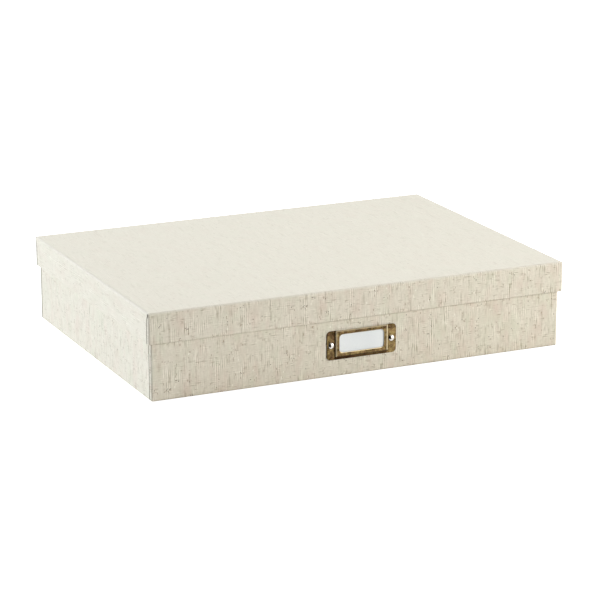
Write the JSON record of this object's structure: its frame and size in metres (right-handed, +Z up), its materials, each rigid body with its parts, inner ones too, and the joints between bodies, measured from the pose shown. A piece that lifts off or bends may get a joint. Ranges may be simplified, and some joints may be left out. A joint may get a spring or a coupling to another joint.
{
  "type": "document box",
  "caption": "Flat rigid document box covered in linen-look cloth, with a lift-off telescoping lid and a stamped brass label holder that holds a sliding card on its front.",
  "frame": {"origin": "centre of the closed box's footprint, on the surface that it stands on", "axes": "+X along the front, to the right as seen from the front; +Y from the front to the back; +Z up"},
  "size_m": [0.435, 0.31, 0.086],
  "materials": {
    "linen_cloth": "woven off-white linen-look book cloth with slubs and brown flecks",
    "greyboard": "raw grey recycled board",
    "stay_tape": "gummed kraft paper tape",
    "liner_paper": "matt off-white lining paper",
    "bottom_paper": "matt ivory paper",
    "antique_brass": "stamped steel, brass plated, darkened and rubbed back on its edges",
    "nickel_rivet": "bright nickel plate",
    "card_stock": "smooth white card"
  },
  "bodies": {
    "base": {"base_board": "greyboard", "base_corner_stay_front_left": "stay_tape", "base_corner_stay_front_right": "stay_tape", "base_corner_stay_back_left": "stay_tape", "base_corner_stay_back_right": "stay_tape", "base_cover_left": "linen_cloth", "base_cover_right": "linen_cloth", "base_cover_front": "linen_cloth", "base_cover_back": "linen_cloth", "base_bottom_sheet": "bottom_paper", "base_floor_liner": "liner_paper", "base_wall_liner": "liner_paper", "label_holder": "antique_brass", "label_rivet_left": "nickel_rivet", "label_rivet_right": "nickel_rivet"},
    "card": {"label_card": "card_stock"},
    "lid": {"lid_board": "greyboard", "lid_corner_stay_front_left": "stay_tape", "lid_corner_stay_front_right": "stay_tape", "lid_corner_stay_back_left": "stay_tape", "lid_corner_stay_back_right": "stay_tape", "lid_cover": "linen_cloth", "lid_top_liner": "liner_paper", "lid_wall_liner": "liner_paper"}
  },
  "joints": [
    {"name": "lid_lift", "type": "slide", "parent": "base", "child": "lid", "axis": [0, 0, 1], "range_m": [0, 0.12]},
    {"name": "card_slide", "type": "slide", "parent": "base", "child": "card", "axis": [0, 0, 1], "range_m": [0, 0.01]}
  ]
}
